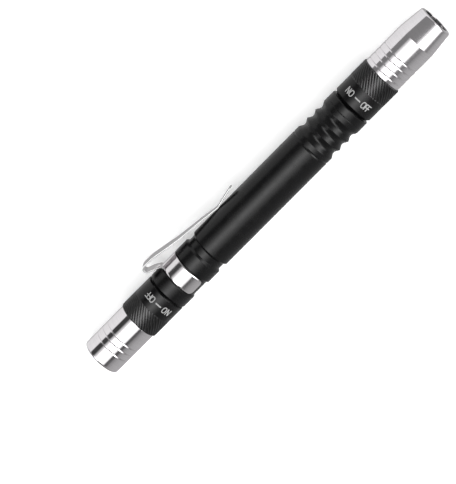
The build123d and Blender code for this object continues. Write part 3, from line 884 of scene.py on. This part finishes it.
def make_seal(name, node, body):
    """A round rubber ring where its CAD node is."""
    low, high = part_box(node)
    section = (high.x - low.x) / 2
    middle, ring = (low.x + high.x) / 2, high.z - section
    angles = [2 * pi * step / SEAL_POINTS for step in range(SEAL_POINTS)]
    outline = [(middle + section * cos(angle), ring + section * sin(angle)) for angle in angles]
    seal = lathe(name, outline, MATERIALS["black_rubber"], corner=HARDLY_ANY_CORNER, segments=128)
    return stand_for(seal, node, body)


# ---------- the pocket clip

CLIP_THICKNESS = 0.42 * MM
CLIP_WIDTH = 5.5 * MM
BAND_SUNK = 0.01 * MM
BAND_MIDDLE = PEN_RADIUS - BAND_SUNK - CLIP_THICKNESS / 2
BAND_ARM = radians(137)
BAND_CORNER = 1.5 * MM
BAND_ROWS = 14
ARM_COLUMNS = 60
STRIP_COLUMNS = 12
PATH_STEP = 0.3 * MM
FLATTENED_AFTER = 3.2 * MM
TIP_CORNER = 1.1 * MM
END_COLUMNS = 12
STAMPED_EDGE = 0.05 * MM

# The strip's centre line from the band's edge to its tip: station, height and the bend's radius, in mm.
CLIP_LINE = [
    (35.4, 6.78, 0.0),
    (35.3, 6.78, 0.2),
    (34.85, 7.46, 0.35),
    (30.42, 9.03, 1.0),
    (30.42, 10.955, 1.1),
    (35.0, 10.895, 8.0),
    (45.0, 9.13, 14.0),
    (54.0, 8.15, 14.0),
    (60.5, 7.24, 3.0),
    (68.3, 9.05, 0.0),
]
# The tongue's half width in mm along the pen: it narrows towards its tip.
TONGUE_STATIONS = [40.0, 58.5, 69.0]
TONGUE_HALF_WIDTHS = [2.75, 1.4, 1.25]


def strip_half_width(x, from_tip):
    """Half the strip's width at x, with its tip's corners rounded off."""
    station = (x - UV_TIP) / MM
    half = float(np.interp(station, TONGUE_STATIONS, TONGUE_HALF_WIDTHS)) * MM
    short = max(0.0, TIP_CORNER - from_tip)
    return half - TIP_CORNER + sqrt(max(0.0, TIP_CORNER**2 - short**2))


def soft_path(corners, step):
    """Points along a path of (station, height, radius), with each bend rounded to its radius."""
    places = [Vector((at(corner[0]), corner[1] * MM)) for corner in corners]
    points = [places[0]]
    for p, q, r, corner in zip(places, places[1:], places[2:], corners[1:]):
        came, goes = (q - p).normalized(), (r - q).normalized()
        turn = came.angle(goes)
        room = ROUNDABLE_SHARE * min((q - p).length, (r - q).length)
        cut = min(corner[2] * MM * tan(turn / 2), room)
        radius = cut / tan(turn / 2)
        side = 1.0 if came.x * goes.y - came.y * goes.x > 0 else -1.0
        start = q - came * cut
        centre = start + Vector((-came.y, came.x)) * side * radius
        count = max(4, int(radius * turn / step))
        for n in range(count + 1):
            points.append(centre + Matrix.Rotation(turn * side * n / count, 2) @ (start - centre))
    points.append(places[-1])
    filled = [points[0]]
    for p in points[1:]:
        start, gap = filled[-1], (p - filled[-1]).length
        parts = max(1, int(gap / step))
        filled += [start + (p - start) * (n + 1) / parts for n in range(parts)]
    return filled


def band_columns(work, angles):
    """The band's rows of points round the barrel, shortened at both ends by their rounded corners."""
    band = []
    for angle in angles:
        from_end = (BAND_ARM - abs(angle)) * BAND_MIDDLE
        short = max(0.0, BAND_CORNER - from_end)
        inset = BAND_CORNER - sqrt(max(0.0, BAND_CORNER**2 - short**2))
        x0, x1 = BAND_LOW + inset, BAND_HIGH - inset
        y, z = BAND_MIDDLE * cos(angle), BAND_MIDDLE * sin(angle)
        band.append([work.verts.new((x0 + (x1 - x0) * r / BAND_ROWS, y, z)) for r in range(BAND_ROWS + 1)])
    for left, right in zip(band, band[1:]):
        for r in range(BAND_ROWS):
            work.faces.new((left[r], left[r + 1], right[r + 1], right[r]))
    return band


def make_clip():
    """One steel strip: the open band round the barrel, and the tongue that leaves its edge."""
    half_width = CLIP_WIDTH / 2
    shares = [2 * n / STRIP_COLUMNS - 1 for n in range(STRIP_COLUMNS + 1)]
    stem_angles = [float(np.arcsin(half_width * share / BAND_MIDDLE)) for share in shares]
    arm_angles = np.linspace(stem_angles[-1], BAND_ARM, ARM_COLUMNS + 1)[1:]
    end_angles = BAND_ARM - BAND_CORNER / BAND_MIDDLE * np.linspace(1, 0, END_COLUMNS) ** 2
    arm = sorted({float(angle) for angle in (*arm_angles, *end_angles)})
    work = bmesh.new()
    band = band_columns(work, [-angle for angle in reversed(arm)] + stem_angles + arm)
    path = soft_path(CLIP_LINE, PATH_STEP)
    runs = np.cumsum([0.0] + [(q - p).length for p, q in zip(path, path[1:])])
    last = [band[len(arm) + n][0] for n in range(STRIP_COLUMNS + 1)]
    for point, run in list(zip(path, runs))[1:]:
        flat = min(1.0, run / FLATTENED_AFTER)
        flat = flat * flat * (3 - 2 * flat)
        half = strip_half_width(point.x, runs[-1] - run)
        row = []
        for share in shares:
            z = half * share
            drop = BAND_MIDDLE - sqrt(BAND_MIDDLE**2 - z**2)
            row.append(work.verts.new((point.x, point.y - drop * (1 - flat), z)))
        for n in range(STRIP_COLUMNS):
            work.faces.new((last[n], last[n + 1], row[n + 1], row[n]))
        last = row
    bmesh.ops.recalc_face_normals(work, faces=work.faces)
    mesh = bpy.data.meshes.new("clip_strip")
    work.to_mesh(mesh)
    work.free()
    mesh.materials.append(MATERIALS["spring_steel"])
    mesh.materials.append(MATERIALS["sheared_edge"])
    clip = bpy.data.objects.new("pocket_clip_strip", mesh)
    bpy.context.scene.collection.objects.link(clip)
    thicken = clip.modifiers.new("thickness", "SOLIDIFY")
    thicken.thickness = CLIP_THICKNESS
    thicken.offset = 0.0
    thicken.use_even_offset = True
    thicken.material_offset_rim = 1
    edges = clip.modifiers.new("edges", "BEVEL")
    edges.width = STAMPED_EDGE
    edges.segments = 2
    edges.limit_method = "ANGLE"
    edges.angle_limit = radians(50)
    edges.harden_normals = True
    apply_modifiers(clip)
    clip.data.polygons.foreach_set("use_smooth", [True] * len(clip.data.polygons))
    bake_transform(clip)
    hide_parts("clip_band", "clip_tongue")
    return clip


def apply_modifiers(piece):
    """The piece's mesh with its modifiers applied, and none left on it."""
    bpy.context.view_layer.update()
    seen = piece.evaluated_get(bpy.context.evaluated_depsgraph_get())
    made = bpy.data.meshes.new_from_object(seen)
    piece.modifiers.clear()
    piece.data = made


# ---------- springs

SPRING_WIRE_RADIUS = 0.25 * MM
SPRING_RADIUS = 4.0 * MM
SPRING_TURNS = 5
STEPS_A_TURN = 40
WIRE_POINTS = 28
CLOSED_END = 0.07


def make_spring(head):
    """A coil spring from the brass disc to the cell's end."""
    node = f"{head.name}_cell_spring"
    low, high = span(node)
    fixed, free = (high, low) if head.outward < 0 else (low, high)
    count = SPRING_TURNS * STEPS_A_TURN
    verts, faces = [], []
    for step in range(count + 1):
        share = step / count
        angle = 2 * pi * SPRING_TURNS * share
        eased = share * share * (3 - 2 * share)
        x = fixed + (free - fixed) * (CLOSED_END + (1 - 2 * CLOSED_END) * eased)
        for number in range(WIRE_POINTS):
            a = 2 * pi * number / WIRE_POINTS
            radius = SPRING_RADIUS + SPRING_WIRE_RADIUS * cos(a)
            verts.append((x + SPRING_WIRE_RADIUS * sin(a), radius * cos(angle), radius * sin(angle)))
    for step in range(count):
        here, there = step * WIRE_POINTS, (step + 1) * WIRE_POINTS
        for number in range(WIRE_POINTS):
            n = (number + 1) % WIRE_POINTS
            faces.append((here + number, here + n, there + n, there + number))
    faces.append(tuple(range(WIRE_POINTS)))
    faces.append(tuple(count * WIRE_POINTS + n for n in range(WIRE_POINTS)))
    spring = finish_mesh(f"{head.name}_spring_coil", verts, faces, materials=[MATERIALS["plated_steel"]])
    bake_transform(spring)
    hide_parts(node)


# ---------- CAD nodes that stay


def dress_cad_nodes():
    """Gives every CAD node that still shows the material of its slot."""
    for entry in frame["record"]["subparts"]:
        node = frame["nodes"][entry["node"]]
        node.data.materials.clear()
        node.data.materials.append(MATERIALS[entry["material_slot"]])


# ---------- studio

CAMERA_LENS = 200.5
CAMERA_DISTANCE = 0.825
CAMERA_TILT = 12.8
CAMERA_ROLL = 9.5
IMAGE_ANGLE = 45.13
AIM_FROM_TIP = 54.63 * MM
AIM_OFF_AXIS = 2.56 * MM

FLOOR_HALF_WIDTH = 3.0
FLOOR_GAP = 0.02 * MM
FLOOR_GLOW = 0.33

# The light's levels, slants and leans, in degrees where they are angles.
LIGHT_TOP = 6.2
LIGHT_SLANT = 46.0
STRAIGHT_LOW, STRAIGHT_HIGH = -18.0, -6.5
SLANTED_LOW, SLANTED_HIGH = -30.5, 6.0
SLANT_SHARES = [(-66, 0.0), (-63, 0.0), (7, 1.0), (60, 1.0), (84, 0.9), (180, 0.0)]
LIT_WITHIN = -30.0
DARK_BEYOND = -50.0
DARK_LEVEL = 0.45
HAZE_START, HAZE_END = -14.0, -7.0
HAZE = 0.27
LIGHT_BANDS = [
    (-180, 0.4),
    (-155, 0.45),
    (-140, 0.95),
    (-66, 1.05),
    (-63, 0.05),
    (-39, 0.05),
    (-33, 0.55),
    (-26, 0.95),
    (-18, 1.7),
    (-8, 4.0),
    (0, 6.0),
    (7, 5.8),
    (16, 3.6),
    (26, 2.0),
    (34, 1.4),
    (38, 1.0),
    (40.5, 0.1),
    (51, 0.12),
    (56, 0.2),
    (62, 0.33),
    (80, 0.46),
    (110, 0.52),
    (180, 0.5),
]


def camera_axes():
    """The camera's right, up and back directions, and the direction across the pen that it sees upright.
    The pen's white end leans towards the camera and points up and right."""
    tilt, roll = radians(CAMERA_TILT), radians(CAMERA_ROLL)
    back = Vector((sin(tilt), cos(tilt) * sin(roll), cos(tilt) * cos(roll)))
    along = (Vector((1, 0, 0)) - back * back.x).normalized()
    across = back.cross(along)
    turn = radians(IMAGE_ANGLE)
    right = along * cos(turn) - across * sin(turn)
    up = along * sin(turn) + across * cos(turn)
    return right, up, back, across


def make_camera():
    """A long lens, aimed at a place beside the barrel."""
    right, up, back, across = camera_axes()
    aim = Vector((UV_TIP + AIM_FROM_TIP, 0, 0)) - across * AIM_OFF_AXIS
    data = bpy.data.cameras.new("camera")
    data.lens = CAMERA_LENS
    data.sensor_width = 36.0
    data.clip_start = 0.01
    data.clip_end = 20.0
    camera = bpy.data.objects.new("camera", data)
    turn = Matrix((right, up, back)).transposed().to_4x4()
    camera.matrix_world = Matrix.Translation(aim + back * CAMERA_DISTANCE) @ turn
    bpy.context.scene.collection.objects.link(camera)
    bpy.context.scene.camera = camera


def make_floor():
    """A wide pale sheet under the pen, lit a little from behind to keep the pen's shadow soft."""
    mesh = bpy.data.meshes.new("floor")
    half, z = FLOOR_HALF_WIDTH, -PEN_RADIUS - FLOOR_GAP
    corners = [(-half, -half, z), (half, -half, z), (half, half, z), (-half, half, z)]
    mesh.from_pydata(corners, [], [(0, 1, 2, 3)])
    shade = Shade("floor", (0.88, 0.88, 0.88), roughness=0.9, Emission_Strength=FLOOR_GLOW)
    shade.shader.inputs["Emission Color"].default_value = (1, 1, 1, 1)
    shade.roughness(shade.noise(30), 0.85, 0.95)
    mesh.materials.append(shade.material)
    floor = bpy.data.objects.new("floor", mesh)
    floor.visible_glossy = False
    floor.visible_shadow = False
    bpy.context.scene.collection.objects.link(floor)


class Sky:
    """The studio as a world of nodes, read from the direction a ray leaves in."""

    def __init__(self):
        self.world = bpy.data.worlds.new("studio")
        self.world.use_nodes = True
        self.tree = self.world.node_tree
        self.where = self.tree.nodes.new("ShaderNodeTexCoord")

    def node(self, kind, **settings):
        """A new node with its settings made."""
        made = self.tree.nodes.new(kind)
        for name, value in settings.items():
            setattr(made, name, value)
        return made

    def link(self, source, target):
        self.tree.links.new(source, target)

    def along(self, axis):
        """How much of the ray's direction lies along an axis."""
        dot = self.node("ShaderNodeVectorMath", operation="DOT_PRODUCT")
        dot.inputs[1].default_value = axis
        self.link(self.where.outputs["Generated"], dot.inputs[0])
        return dot.outputs["Value"]

    def math(self, operation, first, second=0.0):
        """A sum of one or two values, each a number or another node's output."""
        made = self.node("ShaderNodeMath", operation=operation)
        for socket, value in zip(made.inputs, (first, second)):
            if isinstance(value, bpy.types.NodeSocket):
                self.link(value, socket)
            else:
                socket.default_value = value
        return made.outputs["Value"]

    def ramp(self, value, start, end, first, last):
        """A value that goes from first to last as another goes from start to end."""
        made = self.node("ShaderNodeMapRange")
        for socket, number in zip(made.inputs[1:5], (start, end, first, last)):
            socket.default_value = number
        self.link(value, made.inputs["Value"])
        return made.outputs["Result"]

    def bands(self, angle, stops, top):
        """A level, as a share of top, that follows (degree, level) stops round a full turn."""
        made = self.node("ShaderNodeValToRGB")
        while len(made.color_ramp.elements) < len(stops):
            made.color_ramp.elements.new(0.5)
        for element, (degree, level) in zip(made.color_ramp.elements, stops):
            element.position = (degree + 180) / 360
            element.color = (level / top, level / top, level / top, 1.0)
        self.link(self.ramp(angle, -pi, pi, 0, 1), made.inputs["Fac"])
        return made.outputs["Color"]


def make_world():
    """A long soft box over the pen, hottest in the middle, with a dark flag on each side of it.
    Brightness goes by the angle round the pen's axis from the camera: minus is the clip's side.
    The box slants towards the pen's ends, and it is dimmer beyond the ultraviolet one."""
    back = camera_axes()[2]
    facing = Vector((0, back.y, back.z)).normalized()
    beside = facing.cross(Vector((1, 0, 0)))
    sky = Sky()
    lean = sky.math("ARCSINE", sky.along(Vector((1, 0, 0))))
    slant = sky.math(
        "ADD",
        sky.ramp(lean, radians(STRAIGHT_HIGH), radians(SLANTED_HIGH), 0, radians(LIGHT_SLANT)),
        sky.ramp(lean, radians(SLANTED_LOW), radians(STRAIGHT_LOW), -radians(LIGHT_SLANT), 0),
    )
    around = sky.math("ARCTAN2", sky.along(-beside), sky.along(facing))
    slanted = sky.math("MULTIPLY", slant, sky.bands(around, SLANT_SHARES, 1.0))
    light = sky.bands(sky.math("SUBTRACT", around, slanted), LIGHT_BANDS, LIGHT_TOP)
    haze = sky.ramp(lean, radians(HAZE_START), radians(HAZE_END), 0, HAZE / LIGHT_TOP)
    reach = sky.ramp(lean, radians(DARK_BEYOND), radians(LIT_WITHIN), DARK_LEVEL, 1)
    studio = sky.tree.nodes["Background"]
    sky.link(sky.math("MAXIMUM", light, haze), studio.inputs["Color"])
    sky.link(sky.math("MULTIPLY", reach, LIGHT_TOP), studio.inputs["Strength"])
    pale = sky.node("ShaderNodeBackground")
    pale.inputs["Color"].default_value = (1, 1, 1, 1)
    rays = sky.node("ShaderNodeLightPath")
    mix = sky.node("ShaderNodeMixShader")
    sky.link(rays.outputs["Is Camera Ray"], mix.inputs[0])
    sky.link(studio.outputs[0], mix.inputs[1])
    sky.link(pale.outputs[0], mix.inputs[2])
    sky.link(mix.outputs[0], sky.tree.nodes["World Output"].inputs["Surface"])
    bpy.context.scene.world = sky.world
    bpy.context.scene.view_settings.view_transform = "Standard"


# ---------- the whole scene

dress_cad_nodes()
make_barrel()
for head, angles, middle in ((UV, UV_MARK_ANGLES, 3.05 * MM), (WHITE, WHITE_MARK_ANGLES, 3.45 * MM)):
    make_switch_ring(head)
    make_marks(head, angles, middle)
    make_lens(head)
    make_reflector(head)
    make_lamp(head)
    make_seal(f"{head.name}_lens_ring", f"{head.name}_lens_seal", head.body)
    make_seal(f"{head.name}_neck_ring", f"{head.name}_neck_seal", "barrel")
    make_spring(head)
make_bezel(UV, [10.05, 7.75, 5.4], taper=1.5 * MM, rim_radius=BEZEL_RADIUS, aperture=4.7 * MM)
make_bezel(WHITE, [21.5, 19.4, 17.3, 15.25], taper=8.4 * MM, rim_radius=5.7 * MM, aperture=4.3 * MM)
make_clip()

make_camera()
make_floor()
make_world()
